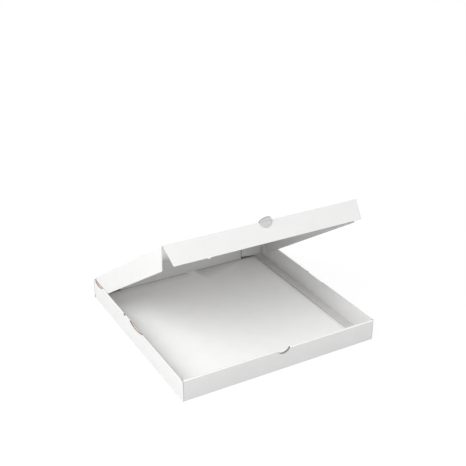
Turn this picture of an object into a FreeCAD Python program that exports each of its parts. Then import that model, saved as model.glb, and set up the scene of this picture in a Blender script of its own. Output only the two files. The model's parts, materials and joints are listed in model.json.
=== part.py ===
import FreeCAD, Part
import math
import os

import Sketcher

# A pizza box folded from one blank of thin corrugated board, with its lid ajar.
# Frame: +X to the right, -Y to the front, +Z up. The origin is at the middle of the
# tray's underside, where the box stands. Lengths are in millimetres, angles in degrees.

SIZES = (
    ("box_width", 300.0, "outside width of the tray, along X"),
    ("box_depth", 300.0, "outside depth of the tray, along Y"),
    ("wall_height", 31.5, "height of the tray's walls, floor included"),
    ("board", 1.0, "thickness of the corrugated board"),
    ("fold_radius", 0.8, "outer radius of a rolled-over fold"),
    ("side_gap", 0.5, "gap between the two layers of a side wall"),
    ("front_gap", 1.2, "gap between the two layers of the front wall"),
    ("flange_width", 14.5, "width of the flange at the foot of a side wall's inner layer"),
    ("flange_lift", 2.0, "height of the flange's free edge above the floor"),
    ("flange_setback", 10.0, "distance from the flange's end to the front wall"),
    ("rear_dust_length", 42.0, "length of the corner flap inside the back wall"),
    ("rear_dust_drop", 3.5, "distance from the corner flap's top to the wall's top"),
    ("rear_dust_gap", 0.8, "gap between the corner flap and the back wall"),
    ("front_dust_length", 70.0, "length of the corner flap held inside the front wall"),
    ("flap_play", 0.4, "play of a corner flap above the floor and beside the inner layer"),
    ("notch_width", 20.6, "width of the thumb notch at the front wall's top"),
    ("notch_depth", 7.0, "depth of the thumb notch"),
    ("mid_slot_length", 43.0, "length of the middle slot in a side wall's top fold"),
    ("mid_slot_depth", 3.8, "depth of the middle slot"),
    ("mid_slot_place", -6.5, "place of the middle slot's centre, along Y"),
    ("rear_slot_length", 29.0, "length of the rear slot in a side wall's top fold"),
    ("rear_slot_depth", 3.5, "depth of the rear slot"),
    ("rear_slot_inset", 19.8, "distance from the rear slot's centre to the tray's rear"),
    ("slit_length", 6.0, "length of the small slit between the two slots"),
    ("slit_depth", 1.4, "depth of the small slit"),
    ("slit_place", 33.0, "place of the small slit's centre, along Y"),
    ("lid_open", 33.7, "angle by which the lid stands open"),
    ("lid_clear", 0.3, "clearance between the lid and the walls it shuts on"),
    ("front_clear", 0.8, "clearance between the tucked front flap and the front wall"),
    ("flap_foot_clear", 1.3, "clearance between the lid's flaps and the flange's root, lid shut"),
    ("side_flap_rear", 4.0, "distance from the hinge to a side flap's rear end"),
    ("side_flap_front", 2.0, "distance from the lid's front fold to a side flap's top corner"),
    ("side_flap_slant", 19.0, "how far a side flap's front edge slants back"),
    ("tongue_width", 19.4, "width of the round-ended tongue at the lid's front fold"),
    ("tongue_depth", 9.0, "how far the tongue reaches past the fold"),
    ("tongue_lift", 29.0, "angle by which the tongue is bent up from the lid"),
    ("tongue_clear", 0.3, "clearance of the front flap around the tongue's outline"),
    ("front_flap_splay", 11.4, "angle by which the front flap stands out from square"),
    ("front_flap_root", 1.5, "distance from the front flap's top corners to the lid's sides"),
    ("front_flap_taper", 4.5, "how far each end of the front flap slants in"),
    ("nub_width", 5.0, "width of the small nub on the front flap's lower edge"),
    ("nub_height", 1.2, "height of the nub"),
    ("nub_place", 93.0, "distance from the middle to the nub, towards -X"),
)

# The sign that turns a place on the axis that a plane stands square to into a distance
# along the plane's normal: the plane across Y looks to the front.
PLANE_NORMALS = {"XY_Plane": 1, "XZ_Plane": -1, "YZ_Plane": 1}


class Measure:
    """A size: its value now, and the expression that gives it from the sheet."""

    def __init__(self, value, text):
        self.value = value
        self.text = text

    def __add__(self, other):
        other = measure(other)
        return Measure(self.value + other.value, "(%s + %s)" % (self.text, other.text))

    def __sub__(self, other):
        other = measure(other)
        return Measure(self.value - other.value, "(%s - %s)" % (self.text, other.text))

    def __mul__(self, other):
        other = measure(other)
        return Measure(self.value * other.value, "(%s * %s)" % (self.text, other.text))

    def __truediv__(self, other):
        other = measure(other)
        return Measure(self.value / other.value, "(%s / %s)" % (self.text, other.text))

    def __neg__(self):
        return Measure(-self.value, "(0 - %s)" % self.text)


def measure(number):
    """Makes a plain number a Measure, and leaves a Measure as it is."""
    if isinstance(number, Measure):
        return number
    return Measure(float(number), repr(float(number)))


def make_sheet(doc):
    """Writes the driving sizes into the sheet, one row each: name, value, meaning."""
    sheet = doc.addObject("Spreadsheet::Sheet", "Sizes")
    for row, (name, value, meaning) in enumerate(SIZES, start=1):
        sheet.set("A%d" % row, name)
        sheet.set("B%d" % row, str(value))
        sheet.set("C%d" % row, meaning)
        sheet.setAlias("B%d" % row, name)
    doc.recompute()
    return {name: Measure(value, "Sizes.%s" % name) for name, value, meaning in SIZES}


def make_body(doc, name):
    """Adds a body whose label is the name of the piece."""
    body = doc.addObject("PartDesign::Body", name)
    body.Label = name
    return body


def origin_plane(body, role):
    """Finds one of the body's own origin planes."""
    for feature in body.Origin.OriginFeatures:
        if feature.Role == role:
            return feature
    raise ValueError("no plane %s" % role)


def make_outline(body, name, plane, points, arcs=None, place=None):
    """Draws a closed outline on one of the body's planes, moved to place along its normal.

    points are (across, up) pairs in the plane. arcs names the segments that are arcs, by
    the index of their first point: each is (centre, radius, turns_left).
    """
    arcs = arcs or {}
    sketch = body.newObject("Sketcher::SketchObject", name)
    sketch.AttachmentSupport = [(origin_plane(body, plane), "")]
    sketch.MapMode = "FlatFace"
    if place is not None:
        along = place * PLANE_NORMALS[plane]
        sketch.AttachmentOffset = FreeCAD.Placement(FreeCAD.Vector(0, 0, along.value), FreeCAD.Rotation())
        sketch.setExpression(".AttachmentOffset.Base.z", along.text)
    corners = [FreeCAD.Vector(across.value, up.value, 0) for across, up in points]
    ends = []
    for index, start in enumerate(corners):
        finish = corners[(index + 1) % len(corners)]
        if index in arcs:
            centre, radius, turns_left = arcs[index]
            ends.append(add_arc(sketch, start, finish, centre, radius, turns_left))
        else:
            line = sketch.addGeometry(Part.LineSegment(start, finish), False)
            ends.append((line, 1, 2))
    for index, (across, up) in enumerate(points):
        edge, start_point, end_point = ends[index]
        before, before_start, before_end = ends[index - 1]
        sketch.addConstraint(Sketcher.Constraint("Coincident", before, before_end, edge, start_point))
        for kind, coordinate in (("DistanceX", across), ("DistanceY", up)):
            row = sketch.addConstraint(Sketcher.Constraint(kind, edge, start_point, coordinate.value))
            sketch.setExpression("Constraints[%d]" % row, coordinate.text)
    return sketch


def add_arc(sketch, start, finish, centre, radius, turns_left):
    """Adds an arc between two points and binds its centre's height; returns its edge and ends."""
    middle = FreeCAD.Vector(centre[0].value, centre[1].value, 0)
    first, last = (start, finish) if turns_left else (finish, start)
    angles = [math.atan2(point.y - middle.y, point.x - middle.x) for point in (first, last)]
    if angles[1] <= angles[0]:
        angles[1] += 2 * math.pi
    circle = Part.Circle(middle, FreeCAD.Vector(0, 0, 1), radius.value)
    arc = sketch.addGeometry(Part.ArcOfCircle(circle, angles[0], angles[1]), False)
    row = sketch.addConstraint(Sketcher.Constraint("DistanceY", arc, 3, centre[1].value))
    sketch.setExpression("Constraints[%d]" % row, centre[1].text)
    return (arc, 1, 2) if turns_left else (arc, 2, 1)


def box_points(low_across, high_across, low_up, high_up):
    """The corners of a rectangle, in order."""
    return [(low_across, low_up), (high_across, low_up), (high_across, high_up), (low_across, high_up)]


def add_pad(body, name, sketch, length, centred=False, back=False):
    """Pads a sketch along its normal, to both sides if centred, or backwards."""
    pad = body.newObject("PartDesign::Pad", name)
    pad.Profile = sketch
    pad.Length = length.value
    pad.setExpression("Length", length.text)
    pad.Midplane = centred
    pad.Reversed = back
    return pad


def add_pocket(body, name, sketch, length, back=False):
    """Cuts a sketch out of the body, against its normal, or along it if back is set."""
    pocket = body.newObject("PartDesign::Pocket", name)
    pocket.Profile = sketch
    pocket.Length = length.value
    pocket.setExpression("Length", length.text)
    pocket.Reversed = back
    body.Document.recompute()
    removed = pocket.BaseFeature.Shape.Volume - pocket.Shape.Volume
    if removed <= 0:
        raise ValueError("%s cuts nothing" % name)
    return pocket


def arc_radius(chord, depth):
    """The radius of the arc that is depth deep over a chord."""
    return (chord * chord / 4 + depth * depth) / (depth * 2)


def add_dip(body, name, plane, centre, chord, depth, top, place, length, back=False):
    """Cuts a shallow arc down into a wall's top edge, through length of it."""
    left = centre - chord / 2
    right = centre + chord / 2
    radius = arc_radius(chord, depth)
    points = [(left, top), (right, top), (right, top + depth), (left, top + depth)]
    arcs = {0: ((centre, top - depth + radius), radius, True)}
    sketch = make_outline(body, name + "_outline", plane, points, arcs, place)
    return add_pocket(body, name, sketch, length, back)


def double_wall(s, gap):
    """The thickness of a wall of two layers with the named gap between them."""
    return s["board"] * 2 + s[gap]


def build_tray(doc, s):
    """The tray: floor, back wall, and front and side walls rolled over to two layers."""
    body = make_body(doc, "tray")
    board = s["board"]
    top = s["wall_height"]
    radius = s["fold_radius"]
    side = s["box_width"] / 2
    rear = s["box_depth"] / 2
    front = -rear
    zero = measure(0)

    # The floor.
    floor_outline = make_outline(body, "floor_outline", "XY_Plane", box_points(-side, side, front, rear))
    add_pad(body, "floor", floor_outline, board)

    # The left side wall's outer layer, as deep as the tray, with its top edge rounded.
    outer_face = -side
    outer_inside = outer_face + board
    outer_points = [
        (outer_face, zero),
        (outer_inside, zero),
        (outer_inside, top),
        (outer_face + radius, top),
        (outer_face, top - radius),
    ]
    outer_arcs = {3: ((outer_face + radius, top - radius), radius, True)}
    outer_outline = make_outline(body, "side_outer_outline", "XZ_Plane", outer_points, outer_arcs)
    outer_layer = add_pad(body, "side_outer", outer_outline, s["box_depth"], centred=True)

    # Its top fold and inner layer, from the front wall to the corner flap at the rear.
    inner_face = outer_face + double_wall(s, "side_gap")
    inner_outside = inner_face - board
    front_inside = front + double_wall(s, "front_gap")
    dust_front = rear - board * 2 - s["rear_dust_gap"]
    inner_rear = dust_front - s["flap_play"]
    inner_points = [
        (outer_inside, top - board),
        (inner_outside, top - board),
        (inner_outside, board),
        (inner_face, board),
        (inner_face, top - radius),
        (inner_face - radius, top),
        (outer_inside, top),
    ]
    inner_arcs = {4: ((inner_face - radius, top - radius), radius, True)}
    inner_outline = make_outline(body, "side_inner_outline", "XZ_Plane", inner_points, inner_arcs, inner_rear)
    inner_layer = add_pad(body, "side_inner", inner_outline, inner_rear - front_inside)

    # The flange at the inner layer's foot, whose free edge springs up off the floor.
    flange_edge = inner_face + s["flange_width"]
    flange_points = [
        (inner_face, board),
        (flange_edge, board + s["flange_lift"]),
        (flange_edge, board * 2 + s["flange_lift"]),
        (inner_face, board * 2),
    ]
    flange_outline = make_outline(body, "flange_outline", "XZ_Plane", flange_points, place=inner_rear)
    flange = add_pad(body, "flange", flange_outline, inner_rear - front_inside - s["flange_setback"])

    # The corner flap folded in from the side wall, in front of the back wall.
    rear_flap_points = box_points(
        outer_inside,
        outer_face + s["rear_dust_length"],
        board + s["flap_play"],
        top - s["rear_dust_drop"],
    )
    rear_flap_outline = make_outline(body, "rear_flap_outline", "XZ_Plane", rear_flap_points, place=dust_front)
    rear_flap = add_pad(body, "rear_flap", rear_flap_outline, board, back=True)

    # The corner flap that the front wall's two layers hold between them.
    held_flap_points = box_points(
        outer_inside,
        outer_face + s["front_dust_length"],
        board + s["flap_play"],
        top - board - s["flap_play"],
    )
    held_place = front + board
    held_outline = make_outline(body, "held_flap_outline", "XZ_Plane", held_flap_points, place=held_place)
    held_flap = add_pad(body, "held_flap", held_outline, board, back=True)

    # The slots at the side wall's top fold, through the outer layer as far as the inner one.
    # Each cut runs one board past the wall's face.
    slot_reach = double_wall(s, "side_gap")
    slots = []
    for name, centre in (
        ("mid_slot", s["mid_slot_place"]),
        ("rear_slot", rear - s["rear_slot_inset"]),
        ("slit", s["slit_place"]),
    ):
        chord = s[name + "_length"]
        depth = s[name + "_depth"]
        slots.append(add_dip(body, name, "YZ_Plane", centre, chord, depth, top, inner_outside, slot_reach))

    # The right side wall and its flaps mirror the left ones.
    mirrored = body.newObject("PartDesign::Mirrored", "right_side")
    mirrored.Originals = [outer_layer, inner_layer, flange, rear_flap, held_flap] + slots
    mirrored.MirrorPlane = (origin_plane(body, "YZ_Plane"), [""])
    body.Tip = mirrored
    doc.recompute()

    # The back wall, whose top edge is the fold that the lid turns on.
    back_points = box_points(-outer_inside, outer_inside, zero, top)
    back_outline = make_outline(body, "back_outline", "XZ_Plane", back_points, place=rear)
    add_pad(body, "back_wall", back_outline, board)

    # The front wall, rolled over to two layers.
    layer_back = front + board
    layer_front = layer_back + s["front_gap"]
    front_points = [
        (front, zero),
        (layer_back, zero),
        (layer_back, top - board),
        (layer_front, top - board),
        (layer_front, board),
        (front_inside, board),
        (front_inside, top - radius),
        (front_inside - radius, top),
        (front + radius, top),
        (front, top - radius),
    ]
    front_arcs = {
        6: ((front_inside - radius, top - radius), radius, True),
        8: ((front + radius, top - radius), radius, True),
    }
    front_outline = make_outline(body, "front_outline", "YZ_Plane", front_points, front_arcs)
    add_pad(body, "front_wall", front_outline, s["box_width"] - board * 2, centred=True)

    # The thumb notch through both layers of the front wall, and a board past each face.
    notch_reach = double_wall(s, "front_gap") + board * 2
    add_dip(
        body,
        "thumb_notch",
        "XZ_Plane",
        zero,
        s["notch_width"],
        s["notch_depth"],
        top,
        front_inside + board,
        notch_reach,
        back=True,
    )
    return body


def lid_place(s):
    """The lid's frame: on the hinge line, with -Y along the shut lid, turned up by its angle."""
    turn = FreeCAD.Rotation(FreeCAD.Vector(1, 0, 0), -s["lid_open"].value)
    return FreeCAD.Placement(FreeCAD.Vector(0, s["box_depth"].value / 2, s["wall_height"].value), turn)


def lid_lengths(s):
    """The lid's half width and its length to the front fold, from the tray that it shuts into."""
    half_width = s["box_width"] / 2 - double_wall(s, "side_gap") - s["lid_clear"]
    length = s["box_depth"] - double_wall(s, "front_gap") - s["front_clear"] - s["board"]
    return half_width, length


def lid_flap_depth(s):
    """How far the lid's flaps hang below its underside: as far as the flanges let them."""
    return s["wall_height"] + s["lid_clear"] - s["board"] * 2 - s["flap_foot_clear"]


def build_lid(doc, s):
    """The lid: a panel with a side flap folded down at each side and a tongue at its front."""
    body = make_body(doc, "lid")
    board = s["board"]
    under = s["lid_clear"]
    half_width, length = lid_lengths(s)
    side_flap_depth = lid_flap_depth(s)

    panel_points = box_points(-half_width, half_width, -length, -s["lid_clear"])
    panel_outline = make_outline(body, "panel_outline", "XY_Plane", panel_points, place=under)
    add_pad(body, "panel", panel_outline, board)

    front_top = -length + s["side_flap_front"]
    flap_points = [
        (-s["side_flap_rear"], under + board),
        (front_top, under + board),
        (front_top, under),
        (front_top + s["side_flap_slant"], under - side_flap_depth),
        (-s["side_flap_rear"] * 2, under - side_flap_depth),
        (-s["side_flap_rear"], under),
    ]
    flap_outline = make_outline(body, "side_flap_outline", "YZ_Plane", flap_points, place=-half_width)
    flap = add_pad(body, "side_flap", flap_outline, board)
    mirrored = body.newObject("PartDesign::Mirrored", "right_side_flap")
    mirrored.Originals = [flap]
    mirrored.MirrorPlane = (origin_plane(body, "YZ_Plane"), [""])
    body.Tip = mirrored
    doc.recompute()

    # The tongue is cut out of the front flap along a shallow arc, and bends up from the fold.
    zero = measure(0)
    half_tongue = s["tongue_width"] / 2
    tongue_radius = arc_radius(s["tongue_width"], s["tongue_depth"])
    tongue_points = [(-half_tongue, zero), (half_tongue, zero)]
    tongue_arcs = {0: ((zero, tongue_radius - s["tongue_depth"]), tongue_radius, True)}
    tongue_outline = make_outline(body, "tongue_outline", "XY_Plane", tongue_points, tongue_arcs, under)
    tongue_outline.AttachmentOffset = FreeCAD.Placement(
        FreeCAD.Vector(0, -length.value, under.value),
        FreeCAD.Rotation(FreeCAD.Vector(1, 0, 0), -s["tongue_lift"].value),
    )
    tongue_outline.setExpression(".AttachmentOffset.Base.y", (-length).text)
    tongue_outline.setExpression(".AttachmentOffset.Rotation.Angle", (-s["tongue_lift"]).text)
    add_pad(body, "tongue", tongue_outline, board)

    body.Placement = lid_place(s)
    body.setExpression(".Placement.Base.y", (s["box_depth"] / 2).text)
    body.setExpression(".Placement.Base.z", s["wall_height"].text)
    body.setExpression(".Placement.Rotation.Angle", (-s["lid_open"]).text)
    return body


def build_front_flap(doc, s):
    """The lid's front flap, which hangs from the front fold and tucks into the tray."""
    body = make_body(doc, "front_flap")
    board = s["board"]
    half_width, length = lid_lengths(s)
    depth = lid_flap_depth(s)
    fold_gap = s["lid_clear"]
    top_half = half_width - s["front_flap_root"]
    foot_half = top_half - s["front_flap_taper"]
    tongue_radius = arc_radius(s["tongue_width"], s["tongue_depth"])
    hole_radius = tongue_radius + s["tongue_clear"]
    hole_centre = tongue_radius - s["tongue_depth"]
    nub_left = -s["nub_place"] - s["nub_width"] / 2
    nub_right = -s["nub_place"] + s["nub_width"] / 2
    nub_foot = -depth - s["nub_height"]

    # The frame is on the fold: the flap hangs down -Z, its thickness lies to the front.
    # The round-bottomed hole is the place that the tongue came out of.
    hole_half = other_side(hole_radius, hole_centre + fold_gap)
    points = [
        (-foot_half, -depth),
        (nub_left, -depth),
        (nub_left, nub_foot),
        (nub_right, nub_foot),
        (nub_right, -depth),
        (foot_half, -depth),
        (top_half, -fold_gap),
        (hole_half, -fold_gap),
        (-hole_half, -fold_gap),
        (-top_half, -fold_gap),
    ]
    zero = measure(0)
    arcs = {7: ((zero, hole_centre), hole_radius, False)}
    outline = make_outline(body, "front_flap_outline", "XZ_Plane", points, arcs)
    add_pad(body, "flap", outline, board)

    turn = s["front_flap_splay"] + s["lid_open"]
    lid = lid_place(s)
    fold = lid.multVec(FreeCAD.Vector(0, -length.value, s["lid_clear"].value))
    body.Placement = FreeCAD.Placement(fold, FreeCAD.Rotation(FreeCAD.Vector(1, 0, 0), -turn.value))
    angle = s["lid_open"].text
    reach = length.text
    clear = s["lid_clear"].text
    body.setExpression(
        ".Placement.Base.y",
        "%s - %s * cos(%s * 1 deg) + %s * sin(%s * 1 deg)" % ((s["box_depth"] / 2).text, reach, angle, clear, angle),
    )
    body.setExpression(
        ".Placement.Base.z",
        "%s + %s * sin(%s * 1 deg) + %s * cos(%s * 1 deg)" % (s["wall_height"].text, reach, angle, clear, angle),
    )
    body.setExpression(".Placement.Rotation.Angle", (-turn).text)
    return body


def other_side(hypotenuse, leg):
    """The other short side of a right triangle."""
    value = math.sqrt(hypotenuse.value ** 2 - leg.value ** 2)
    return Measure(value, "sqrt(%s ^ 2 - %s ^ 2)" % (hypotenuse.text, leg.text))


def check_document(doc, bodies):
    """Stops if any object failed to compute, or any piece has no sound solid."""
    for item in doc.Objects:
        if "Invalid" in item.State or "Error" in item.State:
            raise ValueError("%s failed: %s" % (item.Name, item.State))
    for body in bodies:
        shape = body.Shape
        if shape.isNull() or not shape.isValid():
            raise ValueError("%s has no valid shape" % body.Label)
        if len(shape.Solids) != 1:
            raise ValueError("%s has %d solids" % (body.Label, len(shape.Solids)))


def main():
    os.makedirs("parts", exist_ok=True)
    doc = FreeCAD.newDocument("pizza_box")
    sizes = make_sheet(doc)
    bodies = [build_tray(doc, sizes), build_lid(doc, sizes), build_front_flap(doc, sizes)]
    doc.recompute()
    check_document(doc, bodies)
    for body in bodies:
        body.Shape.exportStep("parts/%s.step" % body.Label)
        box = body.Shape.BoundBox
        print(
            "%s: volume %.0f, x %.1f to %.1f, y %.1f to %.1f, z %.1f to %.1f"
            % (body.Label, body.Shape.Volume, box.XMin, box.XMax, box.YMin, box.YMax, box.ZMin, box.ZMax)
        )


main()
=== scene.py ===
import json
import math

import bpy
from mathutils import Matrix, Vector


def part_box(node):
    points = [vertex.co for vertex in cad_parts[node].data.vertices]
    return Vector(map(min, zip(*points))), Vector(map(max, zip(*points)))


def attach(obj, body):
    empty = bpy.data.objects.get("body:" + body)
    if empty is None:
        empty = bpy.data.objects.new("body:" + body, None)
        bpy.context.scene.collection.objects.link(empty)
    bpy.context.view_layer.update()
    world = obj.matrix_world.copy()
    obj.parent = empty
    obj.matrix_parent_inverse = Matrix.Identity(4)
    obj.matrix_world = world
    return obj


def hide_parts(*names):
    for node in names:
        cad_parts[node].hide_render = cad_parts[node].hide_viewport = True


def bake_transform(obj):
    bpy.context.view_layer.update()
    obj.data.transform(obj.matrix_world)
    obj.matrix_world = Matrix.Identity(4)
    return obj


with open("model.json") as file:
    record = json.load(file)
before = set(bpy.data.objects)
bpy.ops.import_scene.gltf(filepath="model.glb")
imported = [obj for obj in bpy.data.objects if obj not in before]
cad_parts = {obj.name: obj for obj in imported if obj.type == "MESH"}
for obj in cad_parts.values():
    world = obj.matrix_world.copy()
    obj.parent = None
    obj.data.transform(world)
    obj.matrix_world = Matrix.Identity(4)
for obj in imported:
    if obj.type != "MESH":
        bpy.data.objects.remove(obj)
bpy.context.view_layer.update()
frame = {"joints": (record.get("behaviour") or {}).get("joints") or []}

bl_info = {
    "name": "Pizza box",
    "version": (1, 0, 0),
    "blender": (4, 5, 0),
    "location": "View3D > Sidebar > Pizza box",
    "description": "Folds a shallow box of thin white corrugated board, with its lid ajar",
    "category": "Add Mesh",
}

# The solids' own sizes give the defaults of the sizes that both must share.
TRAY_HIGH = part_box("tray")[1]
JOINTS = {joint["name"]: joint for joint in frame["joints"]}
HINGE = Vector((0.0, TRAY_HIGH[1], TRAY_HIGH[2]))

# A sheet's finishes, in the order of its slots: its plain faces, the cut edges, the faces
# between a wall's two layers, tinted pale brown as painted shade, a whiter copy of the liner
# that paints light on the floor and the lid's inside and a painted highlight on the front
# wall's top fold, a dark colour that paints shade on punched edges, gaps and the back wall's
# foot, and a darker copy of the liner that paints shade on the flanges and side flaps' insides.
FINISHES = ("white_liner", "board_core", "hidden_face", "painted_light_liner", "painted_dark_shade", "painted_shade_liner")
OUTER, CORE, BETWEEN, PAINTED_LIGHT, PAINTED_DARK, PAINTED_SHADE = range(6)

# Lengths in metres, and shares of the board's thickness or of a crease's radius, that the
# way the sheet is folded fixes.
TOUCH = 1e-5  # slack in telling on which side of a line a face or a point lies
FACE_ON = 0.7  # share of a face's normal along an axis that counts as facing that way
RUN_IN = 1.1  # crease radii from a wall's outer face to where its foot meets the floor
CORNER_END = 0.004  # from a corner to where the side wall's sheet hands over to the corner's
CORNER_FOOT = 0.0001  # from the surface that the box stands on to the foot of a corner
FLAP_NECK = 0.0018  # from a corner to where a corner flap gets its own height
FLAP_JOG = 0.00125  # from a corner to the jog that leads a front corner flap between layers
JOG_IN = 0.001  # how far inwards that jog leads
JOG_RADIUS = 0.0004  # outer radius of its fold
FRONT_END = 0.0019  # from a corner to the end of the front wall's sheet
THINNER = 0.97  # share of the board's thickness that a sheet keeps where it meets another
HINGE_LIP = 0.0003  # how far below the back wall's top the hinge fold starts
FOLD_STEPS = 8  # how many flat strips make the front flap's fold and the hinge fold

# The slots at a side wall's top fold: centre along Y, length and depth.
SIDE_SLOTS = (
    (-0.0065, 0.043, 0.0038),
    (0.1302, 0.029, 0.0035),
    (0.033, 0.006, 0.0014),
)

# The buckle in the floor's top face, from the back wall's foot forwards: the place, the
# lift and the reach of each pull.
FLOOR_BUCKLE = (
    ((0.016, 0.1435), 0.0034, 0.013),
    ((0.019, 0.124), 0.0011, 0.012),
    ((0.022, 0.102), 0.0006, 0.014),
    ((0.025, 0.08), 0.0005, 0.014),
    ((0.026, 0.058), 0.0004, 0.014),
)
FLOOR_CUTS = 59  # cuts across each side of the floor, so that its mesh can be pulled up
BUCKLE_PICK = 0.003  # how near a vertex has to be to be pulled
BUCKLE_SLANT = 0.24  # how far to the right the ridge moves for each metre out from the wall


def distance(label, description, default):
    """A length in metres."""
    return bpy.props.FloatProperty(
        name=label, description=description, default=default, unit="LENGTH", precision=5
    )


def angle(label, description, degrees):
    """An angle, given in degrees and kept in radians."""
    return bpy.props.FloatProperty(
        name=label,
        description=description,
        default=math.radians(degrees),
        subtype="ANGLE",
        unit="ROTATION",
    )


def share(label, description, default):
    """A share from 0 to 1."""
    return bpy.props.FloatProperty(
        name=label, description=description, default=default, min=0.0, max=1.0, subtype="FACTOR"
    )


def power(label, description, default):
    """A lamp's power in watts."""
    return bpy.props.FloatProperty(name=label, description=description, default=default, unit="POWER")


def colour(label, description, default):
    """A colour with no transparency."""
    return bpy.props.FloatVectorProperty(
        name=label, description=description, default=default, subtype="COLOR", size=3, min=0.0, max=1.0
    )


class BoxSizes(bpy.types.PropertyGroup):
    """The sizes of the folded blank."""

    half_width: distance("Half width", "Half of the tray's outside width", TRAY_HIGH[0])
    half_depth: distance("Half depth", "Half of the tray's outside depth", TRAY_HIGH[1])
    height: distance("Wall height", "Height of the tray's walls", TRAY_HIGH[2])
    board: distance("Board", "Thickness of the corrugated board", 0.001)
    fold: distance("Fold", "Outer radius of a rolled-over fold", 0.00108)
    crease: distance("Crease", "Outer radius of a single crease", 0.00108)
    corner: distance("Corner", "Outer radius of the fold at a corner flap", 0.00115)
    side_wall: distance("Side wall", "Thickness of a side wall's two layers", 0.0025)
    front_wall: distance("Front wall", "Thickness of the front wall's two layers", 0.0032)
    flange_width: distance("Flange", "Width of the flange at a side wall's foot", 0.0145)
    flange_lift: distance("Flange lift", "Height of the flange's free edge above the floor", 0.002)
    flange_setback: distance("Flange setback", "Distance from the flange's end to the front wall", 0.01)
    rear_flap: distance("Rear corner flap", "Length of the flap inside the back wall", 0.042)
    rear_flap_drop: distance("Rear flap drop", "From the rear flap's top to the wall's top", 0.0035)
    rear_flap_lift: distance("Rear flap lift", "From the floor to the rear flap's lower edge", 0.0052)
    # The strip at the back wall's foot is painted shade.
    foot_shade_height: distance("Crushed foot", "Height of the dark strip at the back wall's foot", 0.0006)
    rear_flap_gap: distance("Rear flap gap", "Gap between the rear flap and the back wall", 0.0008)
    held_flap: distance("Front corner flap", "Length of the corner flap held in the front wall", 0.07)
    flap_play: distance("Flap play", "Play of a corner flap above the floor", 0.0004)
    notch_width: distance("Notch width", "Width of the thumb notch", 0.0206)
    notch_depth: distance("Notch depth", "Depth of the thumb notch", 0.007)
    groove: distance("Groove", "Width of the open crease in front of a side wall's slot", 0.0005)
    lid_half: distance("Half lid", "Half of the lid's width", 0.1472)
    lid_length: distance("Lid length", "From the hinge line to the lid's front fold", 0.295)
    lid_clear: distance("Lid clearance", "Clearance between the lid and the walls it shuts on", 0.0003)
    lid_flap: distance("Lid flaps", "How far the lid's flaps hang below its underside", 0.0285)
    flap_rear: distance("Side flap rear", "From the hinge to a side flap's rear end", 0.004)
    flap_front: distance("Side flap front", "From the lid's fold to a side flap's top corner", 0.002)
    flap_slant: distance("Side flap slant", "How far a side flap's front edge slants back", 0.019)
    lid_open: angle("Lid open", "Angle by which the lid stands open", -JOINTS["lid_hinge"]["range_deg"][0])
    splay: angle("Front flap splay", "Angle by which the front flap stands out from square", 11.4)
    tongue_width: distance("Tongue width", "Width of the tongue at the lid's front fold", 0.0194)
    tongue_depth: distance("Tongue depth", "How far the tongue reaches past the fold", 0.009)
    tongue_lift: angle("Tongue lift", "Angle by which the tongue is bent up from the lid", 29.0)
    tongue_clear: distance("Tongue clearance", "Clearance of the front flap around the tongue", 0.0003)
    front_root: distance("Front flap root", "From the front flap's top corners to the lid's sides", 0.0015)
    front_taper: distance("Front flap taper", "How far each end of the front flap slants in", 0.0045)
    nub_place: distance("Nub place", "From the middle to the nub on the front flap's edge", 0.093)
    nub_width: distance("Nub width", "Width of the nub", 0.005)
    nub_height: distance("Nub height", "Height of the nub", 0.0012)


class BoxColours(bpy.types.PropertyGroup):
    """The colours of the board and how coarse its grain is."""

    liner: colour("Liner", "White paper on both faces of the board", (0.785, 0.783, 0.78))
    # This whiter copy of the liner is painted light on the floor and the lid's inside, and a painted
    # highlight on the front wall's top fold.
    clean: colour("Clean liner", "The whitest paper: floor and lid's inside", (0.94, 0.938, 0.933))
    # This darker copy of the liner is painted shade, on the flanges and the lid's side flaps' insides.
    flange: colour("Flange liner", "Rubbed paper: flanges and side flaps' insides", (0.67, 0.665, 0.655))
    # This colour is painted shade between a wall's two layers, tinted pale brown.
    hidden: colour("Hidden face", "Pale brown paper between a wall's two layers", (0.82, 0.69, 0.57))
    # This dark colour is painted shade: on cut edges and gaps, at the rear corner flaps' ends and in
    # strips on the back wall.
    punched: colour("Punched edge", "Crushed, shaded fibres of a punched edge", (0.19, 0.17, 0.155))
    core: colour("Core", "Pale brown paper of the flutes at a cut edge", (0.8, 0.63, 0.48))
    core_hollow: colour("Core hollow", "Shadowed hollows of the flutes at a cut edge", (0.4, 0.28, 0.19))
    dense: share("Dense pulp", "Share of its brightness that dense pulp keeps", 0.975)
    fleck: share("Fleck", "Share of its brightness that a fleck keeps", 0.82)
    buckle_shade: share("Buckle shade", "How strong the shade beside the floor's buckle is", 0.38)
    flute_pitch: distance("Flute pitch", "Distance from one flute to the next", 0.0018)
    flute_depth: distance("Flute depth", "Depth of the flutes that show through white paper", 0.00004)
    crushed_depth: distance("Crushed depth", "Depth of the flutes in pressed or punched paper", 0.00008)
    fibre_size: distance("Fibre size", "Length of the fibres in the liner", 0.0011)
    fibre_depth: distance("Fibre depth", "Height of the fibres in the liner", 0.00003)


class BoxStudio(bpy.types.PropertyGroup):
    """The stage, its lamps and the camera."""

    eye: bpy.props.FloatVectorProperty(
        name="Eye",
        description="Where the camera stands",
        default=(-0.5366, -0.9488, 0.67),
        unit="LENGTH",
        size=3,
    )
    turn: angle("Turn", "The camera's turn about the vertical", -29.816)
    rise: angle("Rise", "How far the camera looks down", 25.998)
    roll: angle("Roll", "The camera's roll about its own axis", 0.442)
    lens: bpy.props.FloatProperty(
        name="Lens", description="Focal length in millimetres", default=66.67, unit="CAMERA"
    )
    sky: share("Sky", "Strength of the even light from all round", 0.77)
    key: power("Key lamp", "Power of the large lamp at the left", 28.0)
    fill: power("Fill lamp", "Power of the lamp in front", 6.5)
    glow: share("Glow", "Share of the floor that shows as plain white", 0.84)


def box_sizes():
    return bpy.context.scene.pizza_box_sizes


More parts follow.
